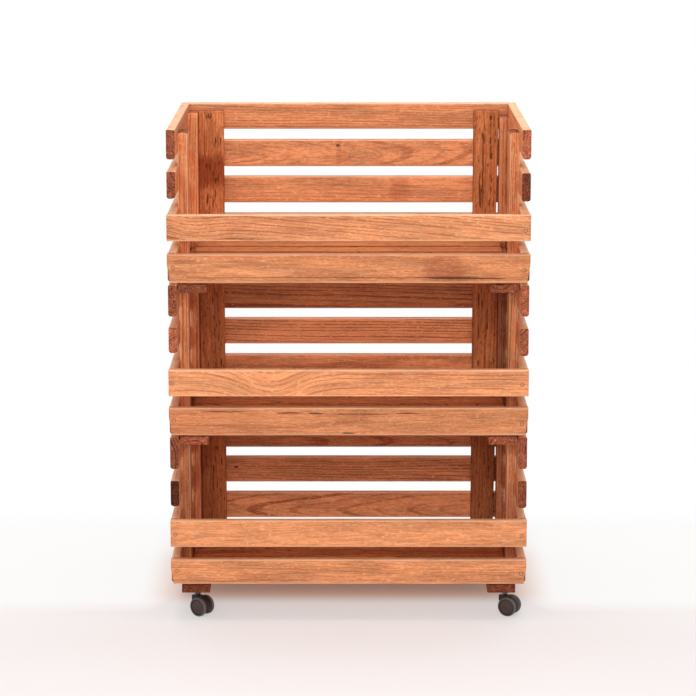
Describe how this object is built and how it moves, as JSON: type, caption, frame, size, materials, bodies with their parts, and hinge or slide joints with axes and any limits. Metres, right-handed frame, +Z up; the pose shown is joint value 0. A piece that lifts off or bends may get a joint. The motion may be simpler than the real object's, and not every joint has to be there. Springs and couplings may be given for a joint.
{
  "type": "vegetable rack",
  "caption": "Stacked open-front slatted wooden crates for vegetables, nested on each other, with a tray floor in each, on small twin-wheel swivel casters.",
  "frame": {"origin": "on the floor, under the middle of the rack's box", "axes": "+Z up, -Y towards the open front, +X to the right seen from the front"},
  "size_m": [0.55, 0.412, 0.7645],
  "materials": {
    "slat_wood": "sawn pine with a thin reddish-brown stain, satin",
    "batten_wood": "rough-sawn pine with the same stain, darker",
    "caster_plastic": "moulded dark grey plastic",
    "zinc_steel": "zinc-plated steel"
  },
  "bodies": {
    "bottom_crate": {"bottom_crate_left_side_panel": "slat_wood", "bottom_crate_right_side_panel": "slat_wood", "bottom_crate_back_panel": "slat_wood", "bottom_crate_upper_front_rail": "slat_wood", "bottom_crate_lower_front_rail": "slat_wood", "bottom_crate_floor_board_1": "slat_wood", "bottom_crate_floor_board_2": "slat_wood", "bottom_crate_floor_board_3": "slat_wood", "bottom_crate_floor_board_4": "slat_wood", "bottom_crate_floor_board_5": "slat_wood", "bottom_crate_floor_board_6": "slat_wood", "bottom_crate_left_skid": "batten_wood", "bottom_crate_right_skid": "batten_wood", "front_left_caster_plate": "zinc_steel", "front_right_caster_plate": "zinc_steel", "rear_left_caster_plate": "zinc_steel", "rear_right_caster_plate": "zinc_steel"},
    "middle_crate": {"middle_crate_left_side_panel": "slat_wood", "middle_crate_right_side_panel": "slat_wood", "middle_crate_back_panel": "slat_wood", "middle_crate_upper_front_rail": "slat_wood", "middle_crate_lower_front_rail": "slat_wood", "middle_crate_floor_board_1": "slat_wood", "middle_crate_floor_board_2": "slat_wood", "middle_crate_floor_board_3": "slat_wood", "middle_crate_floor_board_4": "slat_wood", "middle_crate_floor_board_5": "slat_wood", "middle_crate_floor_board_6": "slat_wood", "middle_crate_left_skid": "batten_wood", "middle_crate_right_skid": "batten_wood"},
    "top_crate": {"top_crate_left_side_panel": "slat_wood", "top_crate_right_side_panel": "slat_wood", "top_crate_back_panel": "slat_wood", "top_crate_upper_front_rail": "slat_wood", "top_crate_lower_front_rail": "slat_wood", "top_crate_floor_board_1": "slat_wood", "top_crate_floor_board_2": "slat_wood", "top_crate_floor_board_3": "slat_wood", "top_crate_floor_board_4": "slat_wood", "top_crate_floor_board_5": "slat_wood", "top_crate_floor_board_6": "slat_wood", "top_crate_left_skid": "batten_wood", "top_crate_right_skid": "batten_wood"},
    "front_left_swivel": {"front_left_caster_hood": "caster_plastic", "front_left_caster_axle": "zinc_steel"},
    "front_left_wheel_a": {"front_left_caster_wheel_a": "caster_plastic"},
    "front_left_wheel_b": {"front_left_caster_wheel_b": "caster_plastic"},
    "front_right_swivel": {"front_right_caster_hood": "caster_plastic", "front_right_caster_axle": "zinc_steel"},
    "front_right_wheel_a": {"front_right_caster_wheel_a": "caster_plastic"},
    "front_right_wheel_b": {"front_right_caster_wheel_b": "caster_plastic"},
    "rear_left_swivel": {"rear_left_caster_hood": "caster_plastic", "rear_left_caster_axle": "zinc_steel"},
    "rear_left_wheel_a": {"rear_left_caster_wheel_a": "caster_plastic"},
    "rear_left_wheel_b": {"rear_left_caster_wheel_b": "caster_plastic"},
    "rear_right_swivel": {"rear_right_caster_hood": "caster_plastic", "rear_right_caster_axle": "zinc_steel"},
    "rear_right_wheel_a": {"rear_right_caster_wheel_a": "caster_plastic"},
    "rear_right_wheel_b": {"rear_right_caster_wheel_b": "caster_plastic"}
  },
  "joints": [
    {"name": "middle_crate_lift", "type": "slide", "parent": "bottom_crate", "child": "middle_crate", "axis": [0, 0, 1], "range_m": [0, 0.12]},
    {"name": "top_crate_lift", "type": "slide", "parent": "middle_crate", "child": "top_crate", "axis": [0, 0, 1], "range_m": [0, 0.12]},
    {"name": "front_left_caster_turn", "type": "hinge", "parent": "bottom_crate", "child": "front_left_swivel", "pos_m": [-0.23812, -0.1665, 0.03], "axis": [0, 0, 1], "continuous": true},
    {"name": "front_left_wheel_a_spin", "type": "hinge", "parent": "front_left_swivel", "child": "front_left_wheel_a", "pos_m": [-0.22922, -0.17297, 0.015], "axis": [0.5878, 0.809, 0], "continuous": true},
    {"name": "front_left_wheel_b_spin", "type": "hinge", "parent": "front_left_swivel", "child": "front_left_wheel_b", "pos_m": [-0.22922, -0.17297, 0.015], "axis": [0.5878, 0.809, 0], "continuous": true},
    {"name": "front_right_caster_turn", "type": "hinge", "parent": "bottom_crate", "child": "front_right_swivel", "pos_m": [0.2423, -0.1665, 0.03], "axis": [0, 0, 1], "continuous": true},
    {"name": "front_right_wheel_a_spin", "type": "hinge", "parent": "front_right_swivel", "child": "front_right_wheel_a", "pos_m": [0.25201, -0.17166, 0.015], "axis": [0.4695, 0.8829, 0], "continuous": true},
    {"name": "front_right_wheel_b_spin", "type": "hinge", "parent": "front_right_swivel", "child": "front_right_wheel_b", "pos_m": [0.25201, -0.17166, 0.015], "axis": [0.4695, 0.8829, 0], "continuous": true},
    {"name": "rear_left_caster_turn", "type": "hinge", "parent": "bottom_crate", "child": "rear_left_swivel", "pos_m": [-0.23869, 0.165, 0.03], "axis": [0, 0, 1], "continuous": true},
    {"name": "rear_left_wheel_a_spin", "type": "hinge", "parent": "rear_left_swivel", "child": "rear_left_wheel_a", "pos_m": [-0.23529, 0.17546, 0.015], "axis": [-0.9511, 0.309, 0], "continuous": true},
    {"name": "rear_left_wheel_b_spin", "type": "hinge", "parent": "rear_left_swivel", "child": "rear_left_wheel_b", "pos_m": [-0.23529, 0.17546, 0.015], "axis": [-0.9511, 0.309, 0], "continuous": true},
    {"name": "rear_right_caster_turn", "type": "hinge", "parent": "bottom_crate", "child": "rear_right_swivel", "pos_m": [0.23869, 0.165, 0.03], "axis": [0, 0, 1], "continuous": true},
    {"name": "rear_right_wheel_a_spin", "type": "hinge", "parent": "rear_right_swivel", "child": "rear_right_wheel_a", "pos_m": [0.23192, 0.17367, 0.015], "axis": [-0.788, -0.6157, 0], "continuous": true},
    {"name": "rear_right_wheel_b_spin", "type": "hinge", "parent": "rear_right_swivel", "child": "rear_right_wheel_b", "pos_m": [0.23192, 0.17367, 0.015], "axis": [-0.788, -0.6157, 0], "continuous": true}
  ]
}
